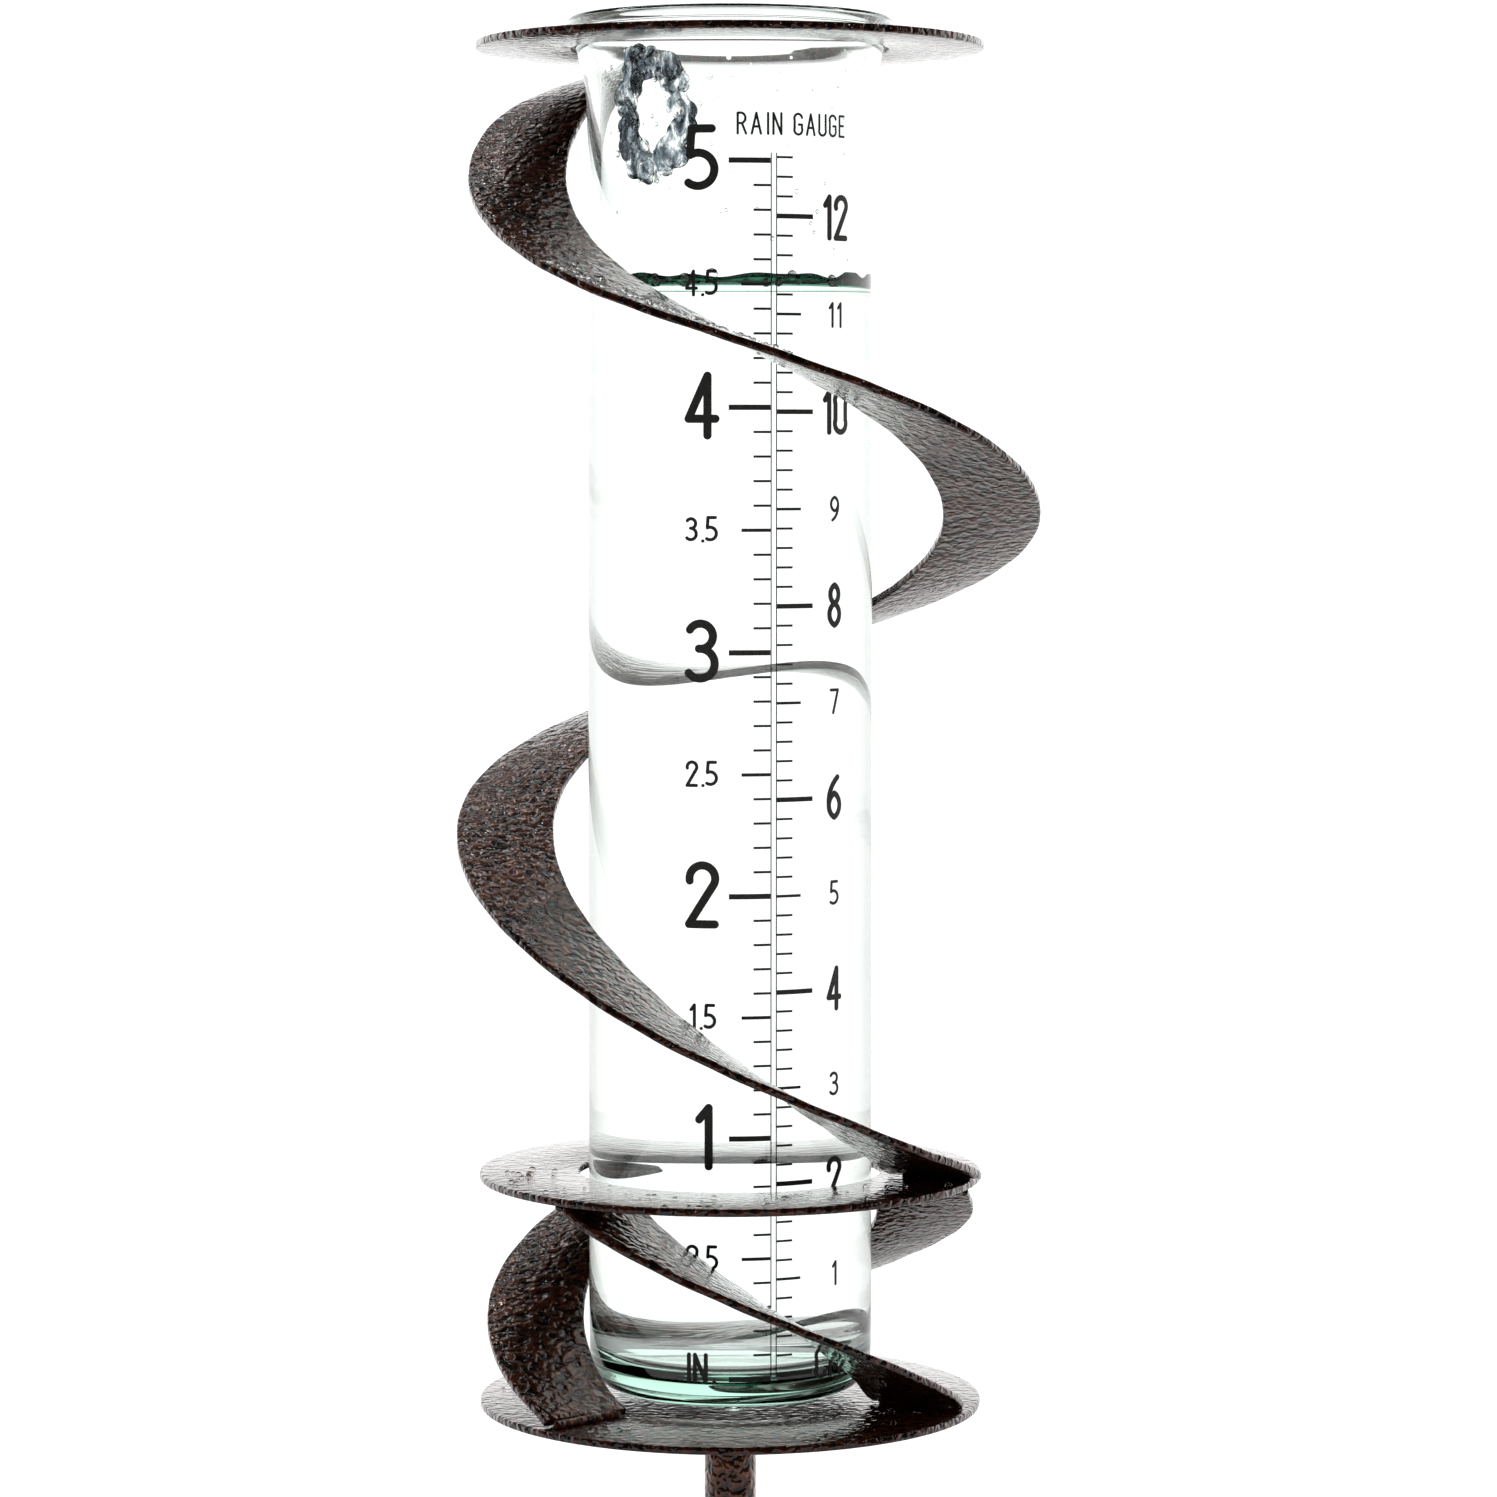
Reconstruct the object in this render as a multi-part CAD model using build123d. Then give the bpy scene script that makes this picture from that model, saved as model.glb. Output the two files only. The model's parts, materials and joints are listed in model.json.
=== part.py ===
from build123d import *
import math
import os

# Manual rain gauge, in millimetres. A glass measuring tube hangs by its lip in a holder of flat steel
# ribbons, and the holder stands on a round stake. +Z is up, the printed scale faces -Y, and the origin is
# on the stake's axis at the level of the ground.

# Stake
STAKE_RADIUS = 4.0
STAKE_JOINT = 40.0          # height of the face where the two halves of the stake meet
STAKE_TIP = -150.0          # depth of the point
POINT_LENGTH = 30.0
STAKE_EDGE = 0.5            # chamfer at the meeting ends
DISC_UNDERSIDE = 130.0      # height of the upper end of the stake

# Threaded stud between the two halves, M5 x 0.8
STUD_RADIUS = 2.5
STUD_ROOT = 2.1
STUD_PITCH = 0.8
STUD_REACH = 12.0           # length in each half
STUD_CLEARANCE = 0.05
HOLE_SPARE = 1.0

# Sheet parts of the holder
SHEET = 1.2
SHEET_EDGE = 0.3            # rounding of a cut edge
DISC_RADIUS = 38.8
DISC_TOP = DISC_UNDERSIDE + SHEET
RIBBON_WIDTH = 15.0
RIBBON_DROP = 1.3           # sheet thickness of a sloping ribbon, measured straight down

MIDDLE_RING_TOP = 35.4      # above the disc
MIDDLE_RING_HOLE = 23.4
TOP_RING_TOP = 208.7        # above the disc
TOP_RING_HOLE = 24.2

# Main spiral: azimuth, height of its upper face above the disc, and outer radius. The azimuth is counted
# from +X, and the ribbon winds down counter-clockwise seen from above.
SPIRAL_STATIONS = [
    (118, TOP_RING_TOP - SHEET, 41.6),
    (145, 201.0, 41.2),
    (180, 189.4, 40.1),
    (225, 175.5, 41.0),
    (270, 163.8, 44.7),
    (315, 151.4, 46.8),
    (360, 137.2, 47.8),
    (405, 123.8, 48.3),
    (450, 112.0, 47.7),
    (495, 100.2, 45.7),
    (540, 86.9, 42.3),
    (585, 72.0, 40.7),
    (630, 56.5, 41.2),
    (675, 42.8, 41.0),
    (704, MIDDLE_RING_TOP + RIBBON_DROP, 40.3),
]
SPIRAL_STEP = 15            # degrees between the points of the ribbon's edges

# Lower ribbons: azimuth where each leaves the middle ring and where it lands on the disc
LOWER_RIBBONS = {
    "lower_ribbon_rear": (-16, 104),
    "lower_ribbon_left": (106, 224),
    "lower_ribbon_front": (227, 343),
}
LOWER_RADIUS = 37.8
LOWER_STEPS = 8             # spans between the points of a lower ribbon's edges

# Weld beads at the ribbons' ends
WELD_SIZE = 0.8             # radius
WELD_TURN = 1.0             # degrees from the ribbon's end to the middle of its bead
WELD_DEPTH = 0.5            # from the plate's face to the middle of the bead

# Glass tube, heights above the disc
TUBE_BOTTOM = 1.5
TUBE_RADIUS = 21.85
TUBE_BORE = 19.85
TUBE_FLOOR = 6.7            # upper face of the thick bottom, the zero of the scale
HEEL_RADIUS = 5.0
FLARE_START = 198.5
LIP_TOP = 212.4

# Printed scale
INCH = 36.57                # height of tube that one inch of rain fills
CENTIMETRE = 14.51          # printed pitch; exact would be 14.40
CENTIMETRE_ZERO = 0.54      # of the centimetre scale above the zero of the inch scale
INK_INNER = TUBE_RADIUS + 0.02
INK_OUTER = TUBE_RADIUS + 0.08
RULE_AZIMUTH = 17.6         # degrees right of the front
RULE_OFFSET = 0.42          # of each rule from the middle of the scale
RULE_WIDTH = 0.16
SCALE_LOWEST = 0.3
SCALE_HIGHEST = 184.0


# ---------------------------------------------------------------- helpers

def polar(radius, azimuth, height):
    """Point at a radius, an azimuth in degrees and a height above the disc."""
    angle = math.radians(azimuth)
    return (radius * math.cos(angle), radius * math.sin(angle), DISC_TOP + height)


def smooth_value(stations, column, azimuth):
    """Value of a column of the stations at an azimuth, on a smooth curve through them."""
    last = len(stations) - 2
    index = 0
    while index < last and stations[index + 1][0] < azimuth:
        index += 1
    start, end = stations[index], stations[index + 1]
    before = stations[max(index - 1, 0)]
    after = stations[min(index + 2, len(stations) - 1)]
    span = end[0] - start[0]
    part = (azimuth - start[0]) / span
    slope_start = (end[column] - before[column]) / (end[0] - before[0]) * span
    slope_end = (after[column] - start[column]) / (after[0] - start[0]) * span
    rise = end[column] - start[column]
    bend = slope_start + slope_end - 2 * rise
    return start[column] + part * (slope_start + part * (rise - slope_start - bend + part * bend))


def ribbon(points):
    """Sheet ribbon RIBBON_WIDTH wide whose upper outer edge passes through (azimuth, height, radius)."""
    def edge(inset, drop):
        return Edge.make_spline([polar(r - inset, azimuth, h - drop) for azimuth, h, r in points])

    corners = [edge(0, 0), edge(RIBBON_WIDTH, 0), edge(RIBBON_WIDTH, RIBBON_DROP), edge(0, RIBBON_DROP)]
    faces = []
    for first, second in zip(corners, corners[1:] + corners[:1]):
        faces.append(Face.make_surface_from_curves(first, second))
    for end in (0, 1):
        outline = Wire.make_polygon([corner @ end for corner in corners], close=True)
        faces.append(Face(outline))
    return Solid(Shell(faces))


def plate(radius, hole, top):
    """Flat round plate with rounded edges, and a hole where hole isn't zero."""
    solid = Pos(0, 0, DISC_TOP + top - SHEET / 2) * Cylinder(radius, SHEET)
    if hole:
        solid -= Pos(0, 0, DISC_TOP + top - SHEET / 2) * Cylinder(hole, 2 * SHEET)
    return fillet(solid.edges().filter_by(GeomType.CIRCLE), SHEET_EDGE)


def weld_run(radius_from, radius_to, azimuth, height):
    """Round-ended weld bead along a radial line."""
    length = radius_to - radius_from
    outline = Wire([
        ThreePointArc((-WELD_SIZE, 0), (-WELD_SIZE * math.sqrt(0.5), WELD_SIZE * math.sqrt(0.5)), (0, WELD_SIZE)),
        Line((0, WELD_SIZE), (length, WELD_SIZE)),
        ThreePointArc((length, WELD_SIZE), (length + WELD_SIZE * math.sqrt(0.5), WELD_SIZE * math.sqrt(0.5)),
                      (length + WELD_SIZE, 0)),
        Line((length + WELD_SIZE, 0), (-WELD_SIZE, 0)),
    ])
    bead = revolve(Face(outline), Axis.X)
    return Pos(*polar(radius_from, azimuth, height)) * Rot(0, 0, azimuth) * bead


# ---------------------------------------------------------------- holder

def make_main_spiral():
    first = SPIRAL_STATIONS[0][0]
    last = SPIRAL_STATIONS[-1][0]
    count = round((last - first) / SPIRAL_STEP)
    points = []
    for step in range(count + 1):
        azimuth = first + (last - first) * step / count
        height = smooth_value(SPIRAL_STATIONS, 1, azimuth)
        radius = smooth_value(SPIRAL_STATIONS, 2, azimuth)
        points.append((azimuth, height, radius))
    return ribbon(points)


def make_lower_ribbon(start, end):
    """Ribbon from the underside of the middle ring down to the disc."""
    top = MIDDLE_RING_TOP - SHEET
    points = []
    for step in range(LOWER_STEPS + 1):
        part = step / LOWER_STEPS
        points.append((start + (end - start) * part, top + (RIBBON_DROP - top) * part, LOWER_RADIUS))
    return ribbon(points)


def make_top_ring_weld():
    """Bead where the spiral hangs from the underside of the top ring."""
    return weld_run(28.5, 37.0, SPIRAL_STATIONS[0][0] - WELD_TURN, TOP_RING_TOP - SHEET - WELD_DEPTH)


def make_middle_ring_welds():
    """Bead of the spiral on the ring, and one under the ring for each lower ribbon."""
    beads = [weld_run(28.0, 37.5, SPIRAL_STATIONS[-1][0] + WELD_TURN, MIDDLE_RING_TOP + WELD_DEPTH)]
    for start, _ in LOWER_RIBBONS.values():
        beads.append(weld_run(26.0, 36.5, start - WELD_TURN, MIDDLE_RING_TOP - SHEET - WELD_DEPTH))
    return Compound(beads)


def make_base_disc_welds():
    """Bead at the foot of each lower ribbon."""
    return Compound([weld_run(24.5, 36.5, end + WELD_TURN, WELD_DEPTH) for _, end in LOWER_RIBBONS.values()])


# ---------------------------------------------------------------- stake

def stake_rod(bottom, top):
    return Pos(0, 0, (bottom + top) / 2) * Cylinder(STAKE_RADIUS, top - bottom)


def stud_hole(bottom, top):
    return Pos(0, 0, (bottom + top) / 2) * Cylinder(STUD_RADIUS + STUD_CLEARANCE, top - bottom)


def make_upper_stake():
    rod = stake_rod(STAKE_JOINT, DISC_UNDERSIDE)
    rod = chamfer(rod.edges().group_by(Axis.Z)[0], STAKE_EDGE)
    return rod - stud_hole(STAKE_JOINT - 1, STAKE_JOINT + STUD_REACH + HOLE_SPARE)


def make_lower_stake():
    shoulder = STAKE_TIP + POINT_LENGTH
    rod = stake_rod(shoulder, STAKE_JOINT)
    rod = chamfer(rod.edges().group_by(Axis.Z)[-1], STAKE_EDGE)
    point = Pos(0, 0, STAKE_TIP + POINT_LENGTH / 2) * Cone(0.6, STAKE_RADIUS, POINT_LENGTH)
    return rod + point - stud_hole(STAKE_JOINT - STUD_REACH - HOLE_SPARE, STAKE_JOINT + 1)


def make_stake_stud():
    """Stud with its thread as a stack of ridges."""
    bottom = STAKE_JOINT - STUD_REACH
    turns = round(2 * STUD_REACH / STUD_PITCH)
    outline = [(0, bottom)]
    for turn in range(turns):
        outline.append((STUD_ROOT, bottom + turn * STUD_PITCH))
        outline.append((STUD_RADIUS, bottom + (turn + 0.5) * STUD_PITCH))
    outline.append((STUD_ROOT, bottom + turns * STUD_PITCH))
    outline.append((0, bottom + turns * STUD_PITCH))
    return revolve(Plane.XZ * Polygon(*outline, align=None), Axis.Z)


def make_stake_weld():
    """Fillet weld round the rod, under the disc."""
    leg = 1.8
    section = Polygon(
        (STAKE_RADIUS, DISC_UNDERSIDE),
        (STAKE_RADIUS + leg, DISC_UNDERSIDE),
        (STAKE_RADIUS + leg * 0.35, DISC_UNDERSIDE - leg * 0.55),
        (STAKE_RADIUS, DISC_UNDERSIDE - leg),
        align=None,
    )
    return revolve(Plane.XZ * section, Axis.Z)


# ---------------------------------------------------------------- glass tube

def make_glass_tube():
    """Blown tube: thick flat bottom with a round heel, straight wall, flared mouth and a round lip."""
    heel = HEEL_RADIUS * (1 - math.sqrt(0.5))
    outer_heel = ThreePointArc(
        (TUBE_RADIUS - HEEL_RADIUS, TUBE_BOTTOM),
        (TUBE_RADIUS - heel, TUBE_BOTTOM + heel),
        (TUBE_RADIUS, TUBE_BOTTOM + HEEL_RADIUS),
    )
    inner_heel = ThreePointArc(
        (TUBE_BORE, TUBE_FLOOR + HEEL_RADIUS),
        (TUBE_BORE - heel, TUBE_FLOOR + heel),
        (TUBE_BORE - HEEL_RADIUS, TUBE_FLOOR),
    )
    outer_flare = Spline(
        (TUBE_RADIUS, FLARE_START),
        (22.2, 202.2),
        (22.9, 205.2),
        (23.85, 208.2),
        tangents=((0, 1), (0.35, 1)),
    )
    lip = Spline(
        outer_flare @ 1,
        (24.7, 209.3),
        (25.2, 210.8),
        (24.6, LIP_TOP - 0.25),
        (23.7, LIP_TOP),
        (22.8, 211.6),
        (22.0, 209.0),
        tangents=((0.35, 1), (-0.25, -1)),
    )
    inner_flare = Spline(
        lip @ 1,
        (21.0, 205.6),
        (20.2, 202.2),
        (TUBE_BORE, FLARE_START),
        tangents=((-0.25, -1), (0, -1)),
    )
    outline = Wire([
        Line((0, TUBE_BOTTOM), outer_heel @ 0),
        outer_heel,
        Line(outer_heel @ 1, outer_flare @ 0),
        outer_flare,
        lip,
        inner_flare,
        Line(inner_flare @ 1, inner_heel @ 0),
        inner_heel,
        Line(inner_heel @ 1, (0, TUBE_FLOOR)),
        Line((0, TUBE_FLOOR), (0, TUBE_BOTTOM)),
    ])
    section = Plane.XZ * Face(outline)
    return Pos(0, 0, DISC_TOP) * revolve(section, Axis.Z)


# ---------------------------------------------------------------- printed scale

def ink_shell(bottom, top):
    """Thin skin of ink round the tube, to be cut to a shape."""
    height = top - bottom
    middle = Pos(0, 0, DISC_TOP + (bottom + top) / 2)
    return middle * Cylinder(INK_OUTER, height) - middle * Cylinder(INK_INNER, 2 * height)


def print_on_tube(shape, arc, height, size):
    """Wrap a flat shape, drawn about its own middle, onto the tube.

    arc is its distance along the surface from the front, to the right, and size its greatest extent.
    """
    azimuth = math.degrees(arc / TUBE_RADIUS) - 90
    x, y, z = polar(INK_OUTER, azimuth, height)
    place = Plane(origin=(x, y, z), x_dir=(-y, x, 0), z_dir=(x, y, 0))
    prism = place * extrude(shape, amount=size * size / TUBE_RADIUS + 0.5, both=True)
    return ink_shell(height - size, height + size) & prism


def bar(arc_from, arc_to, bottom, top):
    """Printed bar between two distances along the surface and two heights."""
    width = math.degrees((arc_to - arc_from) / INK_INNER)
    start = math.degrees(arc_from / TUBE_RADIUS) - 90
    section = Plane.XZ * Pos((INK_INNER + INK_OUTER) / 2, DISC_TOP + (bottom + top) / 2) * Rectangle(
        INK_OUTER - INK_INNER, top - bottom
    )
    return Rot(0, 0, start) * revolve(section, Axis.Z, width)


def make_scale(direction, step, count, kinds, zero=0):
    """One rule and its ticks. kinds gives, for every n-th tick, its length and thickness."""
    middle = math.radians(RULE_AZIMUTH) * TUBE_RADIUS
    rule = middle + direction * RULE_OFFSET
    solids = [bar(rule - RULE_WIDTH / 2, rule + RULE_WIDTH / 2, TUBE_FLOOR + SCALE_LOWEST,
                  TUBE_FLOOR + SCALE_HIGHEST)]
    near = rule + direction * (RULE_WIDTH / 2 + 0.02)
    for index in range(count + 1):
        length, thickness = next(size for every, size in kinds if index % every == 0)
        height = TUBE_FLOOR + zero + index * step
        ends = sorted((near, near + direction * length))
        solids.append(bar(ends[0], ends[1], height - thickness / 2, height + thickness / 2))
    return Compound(solids)


# Lettering of round-ended strokes in a box 0.6 wide and 1 high. Two points are a straight stroke and
# three an arc through the middle one.
GLYPHS = {
    "0": [[(0, .3), (0, .7)], [(0, .7), (.3, 1), (.6, .7)], [(.6, .7), (.6, .3)],
          [(.6, .3), (.3, 0), (0, .3)]],
    "1": [[(.12, .8), (.34, 1)], [(.34, 1), (.34, 0)]],
    "2": [[(.02, .74), (.28, 1), (.58, .68)], [(.58, .68), (0, 0)], [(0, 0), (.6, 0)]],
    "3": [[(.03, .86), (.56, .78), (.24, .54)], [(.24, .54), (.6, .27), (0, .13)]],
    "4": [[(.44, 0), (.44, 1)], [(.44, 1), (0, .28)], [(0, .28), (.62, .28)]],
    "5": [[(.54, 1), (.08, 1)], [(.08, 1), (.04, .56)], [(.04, .56), (.6, .32), (0, .1)]],
    "6": [[(.3, 0), (0, .3), (.3, .6)], [(.3, .6), (.6, .3), (.3, 0)], [(.48, 1), (.1, .7), (0, .3)]],
    "7": [[(0, 1), (.6, 1)], [(.6, 1), (.2, 0)]],
    "8": [[(.3, 0), (.02, .27), (.3, .54)], [(.3, .54), (.58, .27), (.3, 0)],
          [(.3, .54), (.07, .77), (.3, 1)], [(.3, 1), (.53, .77), (.3, .54)]],
    "9": [[(.3, 1), (.6, .7), (.3, .4)], [(.3, .4), (0, .7), (.3, 1)], [(.12, 0), (.5, .3), (.6, .7)]],
    ".": [[(.06, 0), (.07, 0)]],
    "I": [[(.1, 0), (.1, 1)]],
    "N": [[(0, 0), (0, 1)], [(0, 1), (.6, 0)], [(.6, 0), (.6, 1)]],
    "C": [[(.6, .82), (.3, 1), (0, .7)], [(0, .7), (0, .3)], [(0, .3), (.3, 0), (.6, .18)]],
    "M": [[(0, 0), (0, 1)], [(0, 1), (.36, .2)], [(.36, .2), (.72, 1)], [(.72, 1), (.72, 0)]],
    "R": [[(0, 0), (0, 1)], [(0, 1), (.3, 1)], [(.3, 1), (.55, .75), (.3, .5)], [(.3, .5), (0, .5)],
          [(.3, .5), (.6, 0)]],
    "A": [[(0, 0), (.33, 1)], [(.33, 1), (.66, 0)], [(.12, .34), (.54, .34)]],
    "G": [[(.6, .82), (.3, 1), (0, .7)], [(0, .7), (0, .3)], [(0, .3), (.3, 0), (.6, .3)],
          [(.6, .3), (.6, .48)], [(.6, .48), (.34, .48)]],
    "U": [[(0, 1), (0, .3)], [(0, .3), (.3, 0), (.6, .3)], [(.6, .3), (.6, 1)]],
    "E": [[(0, 0), (0, 1)], [(0, 1), (.5, 1)], [(0, .52), (.42, .52)], [(0, 0), (.5, 0)]],
}
GLYPH_WIDTH = {"1": .42, ".": .12, "I": .2, "M": .72, "A": .66, "E": .5, " ": .3}


def glyph(letter, width, height, stroke):
    """Flat letter whose lower left corner is at the origin. width is that of a whole 0.6 box."""
    def placed(point):
        x = point[0] / 0.6 * (width - stroke) + stroke / 2
        y = point[1] * (height - stroke) + stroke / 2
        return (x, y)

    shape = Sketch()
    for points in GLYPHS[letter]:
        points = [placed(point) for point in points]
        path = Line(*points) if len(points) == 2 else ThreePointArc(*points)
        shape += trace(path, line_width=stroke)
        for x, y in (points[0], points[-1]):
            shape += Pos(x, y) * Circle(stroke / 2)
    return shape


def lettering(text, arc, height, glyph_width, glyph_height, stroke, gap):
    """Row of letters printed about the point (arc, height), each wrapped on its own."""
    widths = [GLYPH_WIDTH.get(letter, .6) / 0.6 * glyph_width for letter in text]
    total = sum(widths) + gap * (len(text) - 1)
    left = arc - total / 2
    solids = []
    for letter, width in zip(text, widths):
        if letter != " ":
            flat = Pos(-width / 2, -glyph_height / 2) * glyph(letter, glyph_width, glyph_height, stroke)
            solids.append(print_on_tube(flat, left + width / 2, height, glyph_height))
        left += width + gap
    return solids


def make_inch_numerals():
    """Whole inches large, half inches small, and the unit."""
    solids = []
    for number in range(1, 6):
        solids += lettering(str(number), -4.2, TUBE_FLOOR + number * INCH + 0.25, 5.2, 10.1, 1.25, 0)
    for number in range(5):
        half = TUBE_FLOOR + (number + 0.5) * INCH
        solids += lettering(f"{number}.5", -4.2, half + 0.15, 1.95, 4.0, 0.5, 0.35)
    solids += lettering("IN.", -4.6, TUBE_FLOOR + 1.6, 2.3, 4.8, 0.62, 0.45)
    return Compound(solids)


def make_centimetre_numerals():
    """Even centimetres large, odd ones small, and the unit."""
    solids = []
    for number in range(1, 13):
        height = TUBE_FLOOR + CENTIMETRE_ZERO + number * CENTIMETRE
        if number % 2 == 0:
            solids += lettering(str(number), 17.6, height, 3.2, 6.9, 0.88, 0.42)
        else:
            solids += lettering(str(number), 17.6, height, 2.0, 3.9, 0.46, 0.4)
    solids += lettering("CM.", 17.0, TUBE_FLOOR + 1.6, 2.3, 4.8, 0.62, 0.45)
    return Compound(solids)


def make_title():
    return Compound(lettering("RAIN GAUGE", 10.4, TUBE_FLOOR + 188.3, 1.6, 3.4, 0.36, 0.5))


# ---------------------------------------------------------------- write the parts

def main():
    inch_kinds = [(10, (6.3, 0.8)), (5, (4.4, 0.5)), (1, (2.6, 0.36))]
    centimetre_kinds = [(10, (6.0, 0.72)), (5, (3.9, 0.42)), (1, (2.5, 0.34))]
    parts = {
        "glass_tube": make_glass_tube(),
        "inch_scale_print": make_scale(-1, INCH / 10, 50, inch_kinds),
        "centimetre_scale_print": make_scale(1, CENTIMETRE / 5, 63, centimetre_kinds, CENTIMETRE_ZERO),
        "inch_numerals_print": make_inch_numerals(),
        "centimetre_numerals_print": make_centimetre_numerals(),
        "title_print": make_title(),
        "top_ring": plate(DISC_RADIUS, TOP_RING_HOLE, TOP_RING_TOP),
        "main_spiral": make_main_spiral(),
        "middle_ring": plate(DISC_RADIUS, MIDDLE_RING_HOLE, MIDDLE_RING_TOP),
        "base_disc": plate(DISC_RADIUS, 0, 0),
        "top_ring_weld": make_top_ring_weld(),
        "middle_ring_welds": make_middle_ring_welds(),
        "base_disc_welds": make_base_disc_welds(),
        "upper_stake": make_upper_stake(),
        "stake_weld": make_stake_weld(),
        "stake_stud": make_stake_stud(),
        "lower_stake": make_lower_stake(),
    }
    for name, (start, end) in LOWER_RIBBONS.items():
        parts[name] = make_lower_ribbon(start, end)
    os.makedirs("parts", exist_ok=True)
    for name, solid in parts.items():
        export_step(solid, f"parts/{name}.step")


main()
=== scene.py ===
import json
import math
import random

import bpy
from mathutils import Matrix, Vector

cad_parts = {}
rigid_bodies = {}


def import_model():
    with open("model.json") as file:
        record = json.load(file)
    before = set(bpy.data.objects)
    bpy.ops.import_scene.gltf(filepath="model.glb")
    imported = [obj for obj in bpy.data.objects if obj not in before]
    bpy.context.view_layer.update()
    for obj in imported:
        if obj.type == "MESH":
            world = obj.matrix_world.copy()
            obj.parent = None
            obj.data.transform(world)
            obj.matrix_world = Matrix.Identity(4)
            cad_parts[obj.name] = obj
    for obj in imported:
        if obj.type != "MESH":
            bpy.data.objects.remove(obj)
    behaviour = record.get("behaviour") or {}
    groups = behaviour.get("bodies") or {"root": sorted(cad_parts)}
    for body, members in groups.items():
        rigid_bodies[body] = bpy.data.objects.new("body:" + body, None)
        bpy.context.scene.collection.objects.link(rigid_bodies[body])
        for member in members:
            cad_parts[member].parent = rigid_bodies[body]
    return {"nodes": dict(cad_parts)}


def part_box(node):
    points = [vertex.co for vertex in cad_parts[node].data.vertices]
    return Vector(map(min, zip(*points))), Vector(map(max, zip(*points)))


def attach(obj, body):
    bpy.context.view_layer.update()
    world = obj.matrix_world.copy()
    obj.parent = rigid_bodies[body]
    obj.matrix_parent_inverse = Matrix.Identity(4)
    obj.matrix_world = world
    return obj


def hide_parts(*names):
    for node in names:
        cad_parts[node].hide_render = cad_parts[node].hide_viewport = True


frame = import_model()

bl_info = {
    "name": "Rain Gauge",
    "version": (1, 0, 0),
    "blender": (4, 5, 0),
    "location": "3D View > Sidebar > Rain Gauge",
    "description": "Builds a glass rain gauge in a spiral holder of bronze-coated steel around its CAD frame",
    "category": "Add Mesh",
}

MM = 0.001
MERGE = 0.0005 * MM
FULL_TURN = 2 * math.pi

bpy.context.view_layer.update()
DISC_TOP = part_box("base_disc")[1].z
DISC_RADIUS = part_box("base_disc")[1].x
SHEET = DISC_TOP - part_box("base_disc")[0].z
TOP_RING_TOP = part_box("top_ring")[1].z
MIDDLE_RING_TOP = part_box("middle_ring")[1].z
STAKE_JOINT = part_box("upper_stake")[0].z
STAKE_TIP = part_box("lower_stake")[0].z
STAKE_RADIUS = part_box("upper_stake")[1].x
STUD_BOTTOM, STUD_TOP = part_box("stake_stud")[0].z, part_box("stake_stud")[1].z

# Path of the main spiral's upper outer edge: azimuth in degrees from +X, counter-clockwise seen from
# above, height above the disc and radius in millimetres.
SPIRAL_STATIONS = [
    (118, 207.5, 41.6),
    (145, 201.0, 41.2),
    (180, 189.4, 40.1),
    (225, 175.5, 41.0),
    (270, 163.8, 44.7),
    (315, 151.4, 46.8),
    (360, 137.2, 47.8),
    (405, 123.8, 48.3),
    (450, 112.0, 47.7),
    (495, 100.2, 45.7),
    (540, 86.9, 42.3),
    (585, 72.0, 40.7),
    (630, 56.5, 41.2),
    (675, 42.8, 41.0),
    (704, 36.7, 40.3),
]
SPIRAL_STEP = 15
RIBBON_DROP = 1.3
RIBBON_INSET = 0.1

# Azimuth where each lower ribbon leaves the middle ring and where it lands on the disc
LOWER_RIBBONS = {
    "lower_ribbon_rear": (-16, 104),
    "lower_ribbon_left": (106, 224),
    "lower_ribbon_front": (227, 343),
}
LOWER_RADIUS = 37.8
LOWER_STEPS = 8

# Weld beads, in millimetres and degrees
WELD_RADIUS = 0.78
WELD_RIPPLE = 0.75
WELD_DEPTH = 0.5
WELD_TURN = 1.0

STAKE_EDGE = 0.5 * MM
POINT_LENGTH = 30 * MM
POINT_RADIUS = 0.6 * MM
HOLE_RADIUS = 2.55 * MM
HOLE_DEPTH = 13 * MM
STUD_ROOT, STUD_CREST, STUD_PITCH = 2.1 * MM, 2.5 * MM, 0.8 * MM

TOP_HOLE, MIDDLE_HOLE = 24.2 * MM, 23.4 * MM

# Bore of the tube in millimetres, and the height above the disc where it starts to flare and how fast
BORE = 19.85
FLARE_START = 198
FLARE = 0.018

# Studio: the white of the backdrop, the brightness that gloss meets from straight below (0) to straight
# above (1), with a strip light near the top, and each soft box's place, width and power in watts
WHITE = 1.3
GLOSS_SKY = [
    (0.25, 0.4), (0.46, 0.75), (0.52, 1.0), (0.68, 0.8), (0.75, 0.04),
    (0.852, 0.04), (0.868, 3.6), (0.884, 0.04), (1.0, 0.01),
]
SOFT_BOXES = [
    ("soft_box_left", (-0.7, -0.6, 1.0), 0.07, 0.55),
    ("soft_box_right", (0.9, -0.6, 0.7), 0.06, 0.4),
    ("soft_box_above", (-0.25, 0.3, 1.3), 0.08, 0.7),
    ("soft_box_front", (-0.3, -1.3, 0.45), 0.04, 0.15),
]
AIM_HEIGHT = 110 * MM
CAMERA_PLACE = (2.84 * MM, -715.4 * MM, DISC_TOP + 147.6 * MM)
CAMERA_PITCH = 90 - 3.753
CAMERA_LENS = 111.8


# ---------------------------------------------------------------- sizes and colours

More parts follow.
